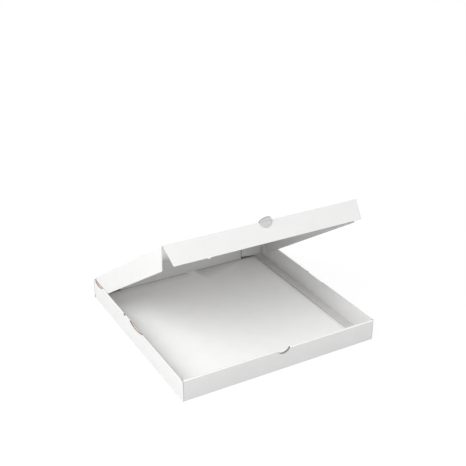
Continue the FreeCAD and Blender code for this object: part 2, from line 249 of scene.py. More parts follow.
def box_colours():
    return bpy.context.scene.pizza_box_colours


# Selecting, in code, what the modelling operators act on.


def only(obj):
    """Leaves edit mode, and makes obj the one selected and active object."""
    if bpy.context.object is not None and bpy.context.object.mode != "OBJECT":
        bpy.ops.object.mode_set(mode="OBJECT")
    bpy.ops.object.select_all(action="DESELECT")
    obj.select_set(True)
    bpy.context.view_layer.objects.active = obj


def edit(obj, kind, chosen):
    """Opens obj in edit mode with the vertices, edges or faces selected whose middle passes chosen."""
    only(obj)
    mesh = obj.data
    for group in (mesh.vertices, mesh.edges, mesh.polygons):
        for item in group:
            item.select = False
    if kind == "VERT":
        for vertex in mesh.vertices:
            vertex.select = chosen(vertex.co)
    elif kind == "EDGE":
        for edge in mesh.edges:
            ends = [mesh.vertices[index].co for index in edge.vertices]
            edge.select = chosen((ends[0] + ends[1]) / 2) and chosen(ends[0]) and chosen(ends[1])
    else:
        for face in mesh.polygons:
            face.select = chosen(face.center)
    bpy.context.tool_settings.mesh_select_mode = (kind == "VERT", kind == "EDGE", kind == "FACE")
    bpy.ops.object.mode_set(mode="EDIT")


def done():
    bpy.ops.object.mode_set(mode="OBJECT")


def near(value, target, reach=TOUCH * 2):
    return abs(value - target) < reach


def start_strip(name, place, low, high, first, second):
    """A plane from the first to the second point of a profile, and from low to high along an axis.

    place turns a profile point and a distance along the axis into a point in space.
    """
    bpy.ops.object.select_all(action="DESELECT")
    corner = place(first, low)
    side = place(first, high) - corner
    up = place(second, low) - corner
    face = side.cross(up).normalized()
    bpy.ops.mesh.primitive_plane_add(size=1.0, location=(0.0, 0.0, 0.0))
    obj = bpy.context.object
    obj.name = name
    obj.data.name = name
    middle = corner + side / 2 + up / 2
    obj.matrix_world = Matrix(
        (
            (side.x, up.x, face.x, middle.x),
            (side.y, up.y, face.y, middle.y),
            (side.z, up.z, face.z, middle.z),
            (0.0, 0.0, 0.0, 1.0),
        )
    )
    bpy.ops.object.transform_apply(location=True, rotation=True, scale=True)
    give_finishes(obj)
    return obj


def give_finishes(obj):
    for finish in FINISHES:
        obj.data.materials.append(bpy.data.materials[finish])


def give_finish(obj, chosen, finish):
    """Gives the chosen faces one of the finishes."""
    edit(obj, "FACE", chosen)
    obj.active_material_index = finish
    bpy.ops.object.material_slot_assign()
    done()


def cut_across(obj, point, normal, chosen=lambda middle: True, clear=False):
    """Cuts the chosen faces along a plane, and may clear the side that its normal points to."""
    edit(obj, "FACE", chosen)
    bpy.ops.mesh.bisect(
        plane_co=point, plane_no=normal, clear_outer=clear, clear_inner=False, use_fill=False
    )
    done()


def drop_faces(obj, chosen):
    """Deletes the chosen faces."""
    edit(obj, "FACE", chosen)
    bpy.ops.mesh.delete(type="FACE")
    done()


def fold_on(obj, chosen, steps):
    """Extrudes the chosen edges, step by step, along the folded sheet's profile."""
    edit(obj, "EDGE", chosen)
    for step in steps:
        bpy.ops.mesh.extrude_edges_move(TRANSFORM_OT_translate={"value": step})
    done()


def round_fold(obj, chosen, radius, segments=5, finish=-1):
    """Rounds the chosen fold edges, with a finish of their own if one is given."""
    edit(obj, "EDGE", chosen)
    bpy.ops.mesh.bevel(
        offset=radius,
        offset_type="OFFSET",
        segments=segments,
        profile=0.5,
        affect="EDGES",
        material=finish,
    )
    done()


def face_towards(obj, probe, direction):
    """Turns the sheet's faces so that the one that holds probe faces direction."""
    edit(obj, "FACE", lambda middle: True)
    bpy.ops.mesh.normals_make_consistent(inside=False)
    done()
    nearest = min(obj.data.polygons, key=lambda face: (face.center - Vector(probe)).length)
    if nearest.normal.dot(Vector(direction)) < 0:
        edit(obj, "FACE", lambda middle: True)
        bpy.ops.mesh.flip_normals()
        done()


def give_board(obj, thickness, back_face=OUTER):
    """Gives a folded sheet its thickness behind its outer face, with the core at its cut edges."""
    only(obj)
    modifier = obj.modifiers.new("board", "SOLIDIFY")
    modifier.thickness = thickness
    modifier.offset = -1.0
    modifier.use_even_offset = True
    modifier.material_offset = back_face
    modifier.material_offset_rim = CORE
    bpy.ops.object.modifier_apply(modifier="board")


def cut_out(obj, cutter, finish=CORE):
    """Cuts the cutter's shape out of obj, with a finish for the new edges, and deletes the cutter."""
    only(cutter)
    bpy.ops.object.transform_apply(location=True, rotation=True, scale=True)
    cutter.data.materials.append(bpy.data.materials[FINISHES[finish]])
    only(obj)
    modifier = obj.modifiers.new("cut", "BOOLEAN")
    modifier.operation = "DIFFERENCE"
    modifier.solver = "EXACT"
    modifier.material_mode = "TRANSFER"
    modifier.object = cutter
    bpy.ops.object.modifier_apply(modifier="cut")
    bpy.data.objects.remove(cutter, do_unlink=True)


def dip_cutter(centre, chord, depth, top, axis, low, high):
    """A cylinder that cuts a shallow arc, chord wide and depth deep, down into a wall's top."""
    radius = (chord * chord / 4 + depth * depth) / (depth * 2)
    height = top - depth + radius
    bpy.ops.object.select_all(action="DESELECT")
    if axis == "X":
        place, turn = ((low + high) / 2, centre, height), (0.0, math.pi / 2, 0.0)
    else:
        place, turn = (centre, (low + high) / 2, height), (math.pi / 2, 0.0, 0.0)
    bpy.ops.mesh.primitive_cylinder_add(
        vertices=360, radius=radius, depth=high - low, location=place, rotation=turn
    )
    return bpy.context.object


def box_cutter(low, high):
    """An upright block that cuts a straight slot."""
    bpy.ops.object.select_all(action="DESELECT")
    middle = [(one + two) / 2 for one, two in zip(low, high)]
    bpy.ops.mesh.primitive_cube_add(size=1.0, location=middle)
    cutter = bpy.context.object
    cutter.scale = [two - one for one, two in zip(low, high)]
    return cutter


def lay_flat(obj):
    """Gives each face its place on the flat blank: across the flutes, and along them."""
    layer = obj.data.uv_layers.get("sheet") or obj.data.uv_layers.new(name="sheet")
    for face in obj.data.polygons:
        normal = face.normal
        for index in face.loop_indices:
            point = obj.data.vertices[obj.data.loops[index].vertex_index].co
            if abs(normal.x) > FACE_ON:
                layer.data[index].uv = (point.z, point.y)
            elif abs(normal.y) > FACE_ON:
                layer.data[index].uv = (point.x, point.z)
            else:
                layer.data[index].uv = (point.x, point.y)


def mirrored_copy(obj, name):
    """A copy of obj at the other side, right way out."""
    only(obj)
    bpy.ops.object.duplicate()
    twin = bpy.context.object
    twin.name = name
    twin.data.name = name
    twin.scale = (-1.0, 1.0, 1.0)
    bpy.ops.object.transform_apply(location=False, rotation=False, scale=True)
    edit(twin, "FACE", lambda middle: True)
    bpy.ops.mesh.normals_make_consistent(inside=False)
    done()
    return twin


def joined(name, parts):
    """Joins the parts into one object of the folded blank."""
    only(parts[0])
    for part in parts:
        part.select_set(True)
    bpy.ops.object.join()
    obj = bpy.context.object
    obj.name = name
    obj.data.name = name
    return obj


def finish_piece(obj):
    """Smooths the rounded folds and keeps the cut edges sharp."""
    only(obj)
    bpy.ops.object.shade_smooth_by_angle(angle=math.radians(32.0))


def lid_matrix():
    """The lid's frame: on the hinge line, with -Y along the shut lid, turned up by its angle."""
    return Matrix.Translation(HINGE) @ Matrix.Rotation(-box_sizes().lid_open, 4, "X")


def put_on_lid(obj):
    """Moves what was modelled in the lid's frame to its place."""
    only(obj)
    obj.matrix_world = lid_matrix()
    bpy.ops.object.transform_apply(location=True, rotation=True, scale=True)


# The finishes.


def new_group(name, inputs, outputs):
    """A shader node group with its sockets; returns the group and its first and last nodes."""
    group = bpy.data.node_groups.new(name, "ShaderNodeTree")
    for label, kind, value in inputs:
        socket = group.interface.new_socket(name=label, in_out="INPUT", socket_type=kind)
        if value is not None:
            socket.default_value = value
    for label, kind in outputs:
        group.interface.new_socket(name=label, in_out="OUTPUT", socket_type=kind)
    return group, group.nodes.new("NodeGroupInput"), group.nodes.new("NodeGroupOutput")


def node(tree, kind, settings=None, values=None):
    """Adds a node with its settings and the values of its sockets."""
    item = tree.nodes.new(kind)
    for key, value in (settings or {}).items():
        setattr(item, key, value)
    for key, value in (values or {}).items():
        item.inputs[key].default_value = value
    return item


def math_node(tree, operation, first, second=None, third=None, clamp=False):
    """Adds a sum of sockets or numbers and returns its result."""
    item = node(tree, "ShaderNodeMath", {"operation": operation, "use_clamp": clamp})
    for index, value in enumerate((first, second, third)):
        if value is None:
            continue
        if isinstance(value, (int, float)):
            item.inputs[index].default_value = value
        else:
            tree.links.new(value, item.inputs[index])
    return item.outputs[0]


def ramp(tree, value, start, end, low=0.0, high=1.0, kind="LINEAR"):
    """Maps a socket's value from start to end onto low to high."""
    limits = {"From Min": start, "From Max": end, "To Min": low, "To Max": high}
    item = node(tree, "ShaderNodeMapRange", {"interpolation_type": kind}, limits)
    tree.links.new(value, item.inputs["Value"])
    return item.outputs["Result"]


def flute_group():
    """The flutes that show faintly through the liner, as a height and as a shade."""
    group, start, end = new_group(
        "flutes",
        [("Sheet", "NodeSocketVector", None), ("Pitch", "NodeSocketFloat", 0.0018)],
        [("Height", "NodeSocketFloat"), ("Hollow", "NodeSocketFloat")],
    )
    links = group.links
    split = node(group, "ShaderNodeSeparateXYZ")
    links.new(start.outputs["Sheet"], split.inputs[0])
    drift = node(group, "ShaderNodeTexNoise", values={"Scale": 18.0, "Detail": 2.0})
    links.new(start.outputs["Sheet"], drift.inputs["Vector"])
    shift = math_node(group, "MULTIPLY", drift.outputs["Fac"], 0.0006)
    across = math_node(group, "ADD", split.outputs["X"], shift)
    turns = math_node(group, "DIVIDE", across, start.outputs["Pitch"])
    phase = math_node(group, "MULTIPLY", turns, 2 * math.pi)
    wave = math_node(group, "SINE", phase)
    patch = node(group, "ShaderNodeTexNoise", values={"Scale": 42.0, "Detail": 3.0})
    links.new(start.outputs["Sheet"], patch.inputs["Vector"])
    links.new(math_node(group, "MULTIPLY", wave, patch.outputs["Fac"]), end.inputs["Height"])
    hollow = math_node(group, "ADD", math_node(group, "MULTIPLY", wave, 0.5), 0.5)
    links.new(hollow, end.inputs["Hollow"])


def fibre_group():
    """Paper fibres, as a height, and cloudy pulp, as a mask."""
    group, start, end = new_group(
        "paper_fibres",
        [("Place", "NodeSocketVector", None), ("Size", "NodeSocketFloat", 0.0011)],
        [("Height", "NodeSocketFloat"), ("Cloud", "NodeSocketFloat"), ("Fleck", "NodeSocketFloat")],
    )
    links = group.links
    scale = math_node(group, "DIVIDE", 1.0, start.outputs["Size"])
    grain = {"Detail": 5.0, "Roughness": 0.65, "Distortion": 1.4}
    fine = node(group, "ShaderNodeTexNoise", values=grain)
    links.new(start.outputs["Place"], fine.inputs["Vector"])
    links.new(scale, fine.inputs["Scale"])
    links.new(fine.outputs["Fac"], end.inputs["Height"])
    broad = node(group, "ShaderNodeTexNoise", values={"Detail": 4.0, "Roughness": 0.6})
    links.new(start.outputs["Place"], broad.inputs["Vector"])
    links.new(math_node(group, "MULTIPLY", scale, 0.045), broad.inputs["Scale"])
    links.new(ramp(group, broad.outputs["Fac"], 0.35, 0.68), end.inputs["Cloud"])
    fleck = node(group, "ShaderNodeTexVoronoi", {"feature": "F1"}, {"Randomness": 1.0})
    links.new(start.outputs["Place"], fleck.inputs["Vector"])
    links.new(math_node(group, "MULTIPLY", scale, 0.16), fleck.inputs["Scale"])
    spot = ramp(group, fleck.outputs["Distance"], 0.05, 0.075, 1.0, 0.0)
    links.new(spot, end.inputs["Fleck"])


def buckle_group():
    """The painted shade on both sides of the floor's buckle, strongest at the back wall's foot."""
    group, start, end = new_group(
        "buckle_shade",
        [("Place", "NodeSocketVector", None), ("Wall", "NodeSocketFloat", None)],
        [("Shade", "NodeSocketFloat")],
    )
    links = group.links
    split = node(group, "ShaderNodeSeparateXYZ")
    links.new(start.outputs["Place"], split.inputs[0])
    out = math_node(group, "SUBTRACT", start.outputs["Wall"], split.outputs["Y"])
    # The ridge slants to the right on its way out from the wall.
    ridge = math_node(group, "MULTIPLY_ADD", out, BUCKLE_SLANT, FLOOR_BUCKLE[0][0][0])
    beside = math_node(group, "SUBTRACT", split.outputs["X"], ridge)
    # On the right the shade reaches far out, and less so towards the side wall.
    right = ramp(group, beside, 0.001, 0.007, kind="SMOOTHSTEP")
    reach = math_node(group, "MULTIPLY_ADD", split.outputs["X"], -0.405, 0.0492)
    reach = math_node(group, "MAXIMUM", reach, 0.004)
    far = math_node(group, "SUBTRACT", 1.0, math_node(group, "DIVIDE", out, reach), clamp=True)
    far = math_node(group, "MULTIPLY", far, right)
    # On the left it is narrow and half as strong.
    left = ramp(group, beside, -0.003, -0.012, kind="SMOOTHSTEP")
    close = math_node(group, "SUBTRACT", 1.0, math_node(group, "DIVIDE", out, 0.014), clamp=True)
    close = math_node(group, "MULTIPLY", math_node(group, "MULTIPLY", close, left), 0.5)
    both = math_node(group, "MAXIMUM", far, close)
    low = ramp(group, split.outputs["Z"], 0.01, 0.006, kind="SMOOTHSTEP")
    links.new(math_node(group, "MULTIPLY", both, low), end.inputs["Shade"])


def start_material(name):
    """A material with its surface shader; returns both."""
    material = bpy.data.materials.new(name)
    material.use_nodes = True
    shader = material.node_tree.nodes["Principled BSDF"]
    shader.inputs["Specular IOR Level"].default_value = 0.3
    return material, shader


def paper_nodes(tree, pitch, fibre_size):
    """Places the flutes and fibres in a material; returns their two nodes."""
    sheet = node(tree, "ShaderNodeUVMap", {"uv_map": "sheet"})
    place = node(tree, "ShaderNodeTexCoord")
    groups = bpy.data.node_groups
    flutes = node(tree, "ShaderNodeGroup", {"node_tree": groups["flutes"]}, {"Pitch": pitch})
    fibres = node(tree, "ShaderNodeGroup", {"node_tree": groups["paper_fibres"]}, {"Size": fibre_size})
    tree.links.new(sheet.outputs["UV"], flutes.inputs["Sheet"])
    tree.links.new(place.outputs["Object"], fibres.inputs["Place"])
    return flutes, fibres


def mix_colour(tree, factor, first, second):
    """Mixes two colours, each a socket or a value."""
    item = node(tree, "ShaderNodeMix", {"data_type": "RGBA"})
    tree.links.new(factor, item.inputs["Factor"])
    for key, value in (("A", first), ("B", second)):
        socket = [one for one in item.inputs if one.name == key and one.type == "RGBA"][0]
        if isinstance(value, bpy.types.NodeSocket):
            tree.links.new(value, socket)
        else:
            socket.default_value = (*value, 1.0)
    return [one for one in item.outputs if one.type == "RGBA"][0]


def make_liner(name, pale, flute_depth, painted_buckle_shade=False):
    """White or brown paper: cloudy pulp, a few flecks, fibres, and the flutes that show through."""
    colours = box_colours()
    pale = tuple(pale)
    shade = tuple(value * colours.dense for value in pale)
    material, shader = start_material(name)
    tree = material.node_tree
    flutes, fibres = paper_nodes(tree, colours.flute_pitch, colours.fibre_size)
    base = mix_colour(tree, fibres.outputs["Cloud"], pale, shade)
    speck = math_node(tree, "MULTIPLY", fibres.outputs["Fleck"], 0.25)
    base = mix_colour(tree, speck, base, tuple(value * colours.fleck for value in shade))
    # The floor's paper gets painted shade beside the buckle.
    if painted_buckle_shade:
        sizes = box_sizes()
        wall = sizes.half_depth - sizes.board
        place = node(tree, "ShaderNodeTexCoord")
        group = bpy.data.node_groups["buckle_shade"]
        buckle = node(tree, "ShaderNodeGroup", {"node_tree": group}, {"Wall": wall})
        tree.links.new(place.outputs["Object"], buckle.inputs["Place"])
        dark = math_node(tree, "MULTIPLY", buckle.outputs["Shade"], colours.buckle_shade)
        # The painted shade is a little warmer than the paper.
        base = mix_colour(tree, dark, base, (pale[0] * 0.36, pale[1] * 0.33, pale[2] * 0.31))
    tree.links.new(base, shader.inputs["Base Color"])
    rough = ramp(tree, fibres.outputs["Height"], 0.0, 1.0, 0.72, 0.92)
    tree.links.new(rough, shader.inputs["Roughness"])
    add_bump(
        tree,
        shader,
        math_node(tree, "MULTIPLY", flutes.outputs["Height"], flute_depth),
        math_node(tree, "MULTIPLY", fibres.outputs["Height"], colours.fibre_depth),
        0.6,
    )


def add_bump(tree, shader, first, second, strength):
    """Turns the sum of two heights into the shader's normal."""
    height = math_node(tree, "ADD", first, second)
    bump = node(tree, "ShaderNodeBump", values={"Strength": strength, "Distance": 1.0})
    tree.links.new(height, bump.inputs["Height"])
    tree.links.new(bump.outputs["Normal"], shader.inputs["Normal"])


def make_core():
    """The cut edge: pale brown paper with the hollows of the flutes, and torn fibres."""
    colours = box_colours()
    material, shader = start_material("board_core")
    tree = material.node_tree
    flutes, fibres = paper_nodes(tree, colours.flute_pitch, colours.fibre_size * 0.4)
    # The flutes' hollows are painted darker, as shade.
    deep = math_node(tree, "POWER", flutes.outputs["Hollow"], 2.0)
    deep = math_node(tree, "MULTIPLY", deep, 0.55)
    base = mix_colour(tree, deep, tuple(colours.core), tuple(colours.core_hollow))
    torn = math_node(tree, "MULTIPLY", fibres.outputs["Height"], 0.45)
    base = mix_colour(tree, torn, base, tuple(colours.liner))
    tree.links.new(base, shader.inputs["Base Color"])
    shader.inputs["Roughness"].default_value = 0.95
    # The flutes' hollows are 0.3 mm deep, and the torn fibres stand out by half of that.
    add_bump(
        tree,
        shader,
        math_node(tree, "MULTIPLY", flutes.outputs["Hollow"], -0.0003),
        math_node(tree, "MULTIPLY", fibres.outputs["Height"], 0.00015),
        0.8,
    )


class PIZZABOX_OT_finishes(bpy.types.Operator):
    """Makes the paper finishes that every piece of the board shares"""

    bl_idname = "pizza_box.finishes"
    bl_label = "Board finishes"

    def execute(self, context):
        colours = box_colours()
        flute_group()
        fibre_group()
        buckle_group()
        make_liner("white_liner", colours.liner, colours.flute_depth)
        make_core()
        make_liner("hidden_face", colours.hidden, colours.crushed_depth)
        make_liner("painted_dark_shade", colours.punched, colours.crushed_depth)
        make_liner("painted_light_liner", colours.clean, colours.flute_depth, painted_buckle_shade=True)
        make_liner("painted_shade_liner", colours.flange, colours.flute_depth)
        return {"FINISHED"}


# The tray.


def along_y(profile, distance_along):
    """A profile point in X and Z, moved along Y."""
    return Vector((profile[0], distance_along, profile[1]))


def along_x(profile, distance_along):
    """A profile point in Y and Z, moved along X."""
    return Vector((distance_along, profile[0], profile[1]))


def along_z(profile, distance_along):
    """A profile point in X and Y, moved along Z."""
    return Vector((profile[0], profile[1], distance_along))


def make_floor(s):
    """The floor, between the creases of the four walls, with the buckle in its top face."""
    reach_x = s.half_width - s.crease * RUN_IN
    reach_y = s.half_depth - s.crease * RUN_IN
    floor = start_strip("floor", along_x, -reach_x, reach_x, (-reach_y, 0.0), (reach_y, 0.0))
    edit(floor, "EDGE", lambda middle: True)
    bpy.ops.mesh.subdivide(number_cuts=FLOOR_CUTS)
    done()
    face_towards(floor, (0.0, 0.0, 0.0), (0.0, 0.0, -1.0))
    # The floor's top gets the whiter copy of the liner, as painted light.
    give_board(floor, s.board, PAINTED_LIGHT)
    for (across, along), lift, reach in FLOOR_BUCKLE:
        at_place = lambda point: near(point.x, across, BUCKLE_PICK) and near(point.y, along, BUCKLE_PICK)
        edit(floor, "VERT", lambda point: point.z > s.board / 2 and at_place(point))
        bpy.ops.transform.translate(
            value=(0.0, 0.0, lift),
            use_proportional_edit=True,
            use_proportional_connected=False,
            proportional_edit_falloff="SMOOTH",
            proportional_size=reach,
        )
        done()
    return floor


def make_side_wall(s):
    """The left side wall: outer layer, rolled top, inner layer and flange, with its top's slots."""
    face = -s.half_width
    inner = face + s.side_wall
    top = s.height
    end = s.half_depth - CORNER_END
    inner_front = -s.half_depth + s.front_wall
    flange_front = inner_front + s.flange_setback
    foot = s.board * 2
    wall = start_strip("side_wall", along_y, -end, end, (face, 0.0), (face, top))
    cut_across(wall, (0.0, flange_front, 0.0), (0.0, 1.0, 0.0))
    fold_on(wall, lambda point: near(point.z, 0.0), [(s.crease * RUN_IN, 0.0, 0.0)])
    fold_on(
        wall,
        lambda point: near(point.z, top),
        [(s.side_wall, 0.0, 0.0), (0.0, 0.0, foot - top)],
    )
    at_foot = lambda point: near(point.z, foot) and near(point.x, inner)
    fold_on(
        wall,
        lambda point: at_foot(point) and point.y > flange_front - TOUCH,
        [(s.flange_width, 0.0, s.flange_lift)],
    )
    # The flange's top gets the darker copy of the liner, as painted shade.
    give_finish(wall, lambda point: point.x > inner + s.flange_width * 0.1, PAINTED_SHADE)
    round_fold(wall, lambda point: near(point.z, 0.0) and near(point.x, face), s.crease)
    round_fold(wall, lambda point: near(point.z, top) and near(point.x, face), s.fold)
    round_fold(wall, lambda point: near(point.z, top) and near(point.x, inner), s.fold)
    face_towards(wall, (face, 0.0, top / 2), (-1.0, 0.0, 0.0))
    give_board(wall, s.board, BETWEEN)
    past = s.board
    reach = inner - s.board
    # The slots' cut edges get the dark colour, as painted shade.
    for centre, chord, depth in SIDE_SLOTS:
        cutter = dip_cutter(centre, chord, depth, top, "X", face - past, reach)
        cut_out(wall, cutter, PAINTED_DARK)
    # The open crease runs from the front wall a little way into the first slot.
    slot_front = SIDE_SLOTS[0][0] - SIDE_SLOTS[0][1] / 2
    low = (reach - s.groove, inner_front, top - s.board * 1.4)
    high = (reach, slot_front + s.board * 2, top + past)
    cut_out(wall, box_cutter(low, high))
    return wall


def make_corner_flap(s, name, front):
    """The left side wall's end, folded round its corner, and the corner flap behind it."""
    face = -s.half_width
    top = s.height
    low = s.board + s.flap_play
    # Each move: from where along the flap it starts, and from which height to which.
    if front:
        start = -s.half_depth + CORNER_END
        turn = -s.half_depth
        steps = [
            (FLAP_JOG, 0.0, 0.0),
            (FLAP_NECK - FLAP_JOG, JOG_IN, 0.0),
            (s.held_flap - FLAP_NECK, 0.0, 0.0),
        ]
        moves = [(0.0, CORNER_FOOT, low), (0.0, top, top - s.board - s.flap_play)]
    else:
        start = s.half_depth - CORNER_END
        turn = s.half_depth - s.board - s.rear_flap_gap
        steps = [(FLAP_NECK, 0.0, 0.0), (s.rear_flap - FLAP_NECK, 0.0, 0.0)]
        # The flap's end stands off the floor, and its root doesn't.
        moves = [
            (0.0, CORNER_FOOT, low),
            (0.0, top, top - s.rear_flap_drop),
            (s.rear_flap / 2, low, s.board + s.rear_flap_lift),
        ]
    flap = start_strip(name, along_z, CORNER_FOOT, top, (face, start), (face, turn))
    fold_on(flap, lambda point: near(point.y, turn), steps)
    for past, old, new in moves:
        beyond = face + max(past, (FLAP_JOG + FLAP_NECK) / 2)
        edit(flap, "VERT", lambda point: point.x > beyond and near(point.z, old))
        bpy.ops.transform.translate(value=(0.0, 0.0, new - old))
        done()
    round_fold(flap, lambda point: near(point.x, face) and near(point.y, turn), s.corner)
    if front:
        at_jog = lambda point: near(point.x, face + FLAP_JOG) and near(point.y, turn)
        round_fold(flap, at_jog, JOG_RADIUS, 3)
    face_towards(flap, (face, (start + turn) / 2, top / 2), (-1.0, 0.0, 0.0))
    give_board(flap, s.board)
    if front:
        # The corner's foot stays above the surface that the box stands on.
        edit(flap, "VERT", lambda point: point.z < CORNER_FOOT)
        bpy.ops.transform.resize(value=(1.0, 1.0, 0.0), center_override=(0.0, 0.0, CORNER_FOOT))
        done()
    else:
        # The flap's free end gets the dark colour, as painted shade of the gap behind it.
        give_finish(flap, lambda middle: near(middle.x, face + s.rear_flap), PAINTED_DARK)
    return flap


def make_front_wall(s):
    """The front wall, rolled over to two layers, with the thumb notch."""
    face = -s.half_depth
    inner = face + s.front_wall
    top = s.height
    reach = s.half_width - FRONT_END
    wall = start_strip("front_wall", along_x, -reach, reach, (face, 0.0), (face, top))
    fold_on(wall, lambda point: near(point.z, 0.0), [(0.0, s.crease * RUN_IN, 0.0)])
    fold_on(
        wall,
        lambda point: near(point.z, top),
        [(0.0, s.front_wall, 0.0), (0.0, 0.0, s.board * 1.05 - top)],
    )
    round_fold(wall, lambda point: near(point.z, 0.0) and near(point.y, face), s.crease)
    # The outer top fold gets the whiter copy of the liner, as a painted highlight.
    round_fold(wall, lambda point: near(point.z, top) and near(point.y, face), s.fold, finish=PAINTED_LIGHT)
    round_fold(wall, lambda point: near(point.z, top) and near(point.y, inner), s.fold)
    face_towards(wall, (0.0, face, top / 2), (0.0, -1.0, 0.0))
    give_board(wall, s.board, BETWEEN)
    give_finish(wall, lambda middle: abs(middle.x) > reach - TOUCH, OUTER)
    past = s.board
    cutter = dip_cutter(0.0, s.notch_width, s.notch_depth, top, "Y", face - past, inner + past)
    # The notch's cut edges get the dark colour, as painted shade.
    cut_out(wall, cutter, PAINTED_DARK)
    return wall


def make_back_wall(s):
    """The back wall, up to the fold that the lid turns on."""
    face = s.half_depth
    top = s.height - HINGE_LIP
    wall = start_strip("back_wall", along_x, -s.half_width, s.half_width, (face, 0.0), (face, top))
    # Strips of painted shade along the wall's foot and on the wall behind the corner flaps.
    foot_shade_height = s.board + s.foot_shade_height
    behind = s.board + s.rear_flap_lift
    flap_end = s.half_width - s.rear_flap
    for height in (foot_shade_height, behind):
        cut_across(wall, (0.0, face, height), (0.0, 0.0, 1.0))
    for place in (-flap_end, flap_end):
        cut_across(wall, (place, face, 0.0), (1.0, 0.0, 0.0))
    fold_on(wall, lambda point: near(point.z, 0.0), [(0.0, -s.crease * RUN_IN, 0.0)])
    round_fold(wall, lambda point: near(point.z, 0.0) and near(point.y, face), s.crease)
    face_towards(wall, (0.0, face, s.height / 2), (0.0, 1.0, 0.0))
    give_board(wall, s.board)
    for height, start in ((foot_shade_height, 0.0), (behind, flap_end)):
        in_strip = lambda middle: middle.z < height and abs(middle.x) >= start
        give_finish(wall, lambda middle: near(middle.y, face - s.board) and in_strip(middle), PAINTED_DARK)
    return wall


class PIZZABOX_OT_tray(bpy.types.Operator):
    """Folds the tray: floor, back wall, and front and side walls rolled over to two layers"""

    bl_idname = "pizza_box.tray"
    bl_label = "Tray"

    def execute(self, context):
        s = box_sizes()
        left = [
            make_side_wall(s),
            make_corner_flap(s, "front_corner", True),
            make_corner_flap(s, "rear_corner", False),
        ]
        right = [mirrored_copy(part, part.name + "_right") for part in left]
        middle = [make_floor(s), make_front_wall(s), make_back_wall(s)]
        tray = joined("tray_board", middle + left + right)
        lay_flat(tray)
        finish_piece(tray)
        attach(tray, "tray")
        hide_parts("tray")
        return {"FINISHED"}


# The lid.


def make_panel(s):
    """The lid's panel and side flaps, in the lid's own frame."""
    half = s.lid_half
    top = s.lid_clear + s.board
    foot = s.lid_clear - s.lid_flap
    front = -s.lid_length
    panel = start_strip("panel", along_y, front, -s.lid_clear, (-half, top), (half, top))
    for side in (-1.0, 1.0):
        fold_on(panel, lambda point: near(point.x, half * side), [(0.0, 0.0, foot - top)])
    corner = Vector((0.0, front + s.flap_front, s.lid_clear))
    slant = Vector((0.0, -s.lid_flap, -s.flap_slant))
    heel = Vector((0.0, -s.flap_rear, s.lid_clear))
    heel_slant = Vector((0.0, s.lid_flap, -s.flap_rear))
    on_flap = lambda middle: abs(middle.x) > half - TOUCH
    for point, beyond in ((corner, slant), (heel, heel_slant)):
        cut_across(panel, point, beyond, on_flap)
        drop_faces(panel, lambda middle: on_flap(middle) and (middle - point).dot(beyond) > 0)
    for side in (-1.0, 1.0):
        at_side = lambda point: near(point.x, half * side) and near(point.z, top)
        round_fold(panel, at_side, s.crease * 1.05)
    face_towards(panel, (0.0, front / 2, top), (0.0, 0.0, 1.0))
    give_board(panel, s.board)
    in_flap = lambda middle: s.board * 0.1 < half - abs(middle.x) < s.board * 0.9
    on_slant = lambda middle: near((middle - corner).dot(slant.normalized()), 0.0, s.board * 2)
    give_finish(panel, lambda middle: in_flap(middle) and on_slant(middle), OUTER)
    # The lid's inside gets the whiter copy of the liner, as painted light.
    give_finish(panel, lambda middle: near(middle.z, s.lid_clear), PAINTED_LIGHT)
    # The side flaps' inner faces get the darker copy of the liner, as painted shade.
    give_finish(panel, lambda middle: near(abs(middle.x), half - s.board), PAINTED_SHADE)
    return panel


def tongue_radius(s):
    """The radius of the arc that bounds the tongue and the hole that it leaves."""
    return (s.tongue_width ** 2 / 4 + s.tongue_depth ** 2) / (s.tongue_depth * 2)


def make_tongue(s):
    """The round-ended tongue, bent up from the lid's front fold."""
    radius = tongue_radius(s)
    root = s.board * 0.3
    bpy.ops.object.select_all(action="DESELECT")
    bpy.ops.mesh.primitive_circle_add(
        vertices=96,
        radius=radius,
        fill_type="NGON",
        location=(0.0, radius - s.tongue_depth, s.board),
    )
    tongue = bpy.context.object
    tongue.name = "tongue"
    bpy.ops.object.transform_apply(location=True, rotation=True, scale=True)
    give_finishes(tongue)
    cut_across(tongue, (0.0, root, 0.0), (0.0, 1.0, 0.0), clear=True)
    face_towards(tongue, (0.0, -s.tongue_depth / 2, s.board), (0.0, 0.0, 1.0))
    give_board(tongue, s.board * THINNER)
    # The tongue's cut edge gets the dark colour, as painted shade.
    give_finish(tongue, lambda middle: near(middle.z, s.board / 2, s.board * 0.3), PAINTED_DARK)
    only(tongue)
    fold = Matrix.Translation((0.0, -s.lid_length, s.lid_clear))
    tongue.matrix_world = fold @ Matrix.Rotation(-s.tongue_lift, 4, "X")
    bpy.ops.object.transform_apply(location=True, rotation=True, scale=True)
    return tongue


class PIZZABOX_OT_lid(bpy.types.Operator):
    """Folds the lid: panel, side flaps and tongue"""

    bl_idname = "pizza_box.lid"
    bl_label = "Lid"

    def execute(self, context):
        s = box_sizes()
        lid = joined("lid_board", [make_panel(s), make_tongue(s)])
        lay_flat(lid)
        put_on_lid(lid)
        finish_piece(lid)
        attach(lid, "lid")
        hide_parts("lid")
        return {"FINISHED"}


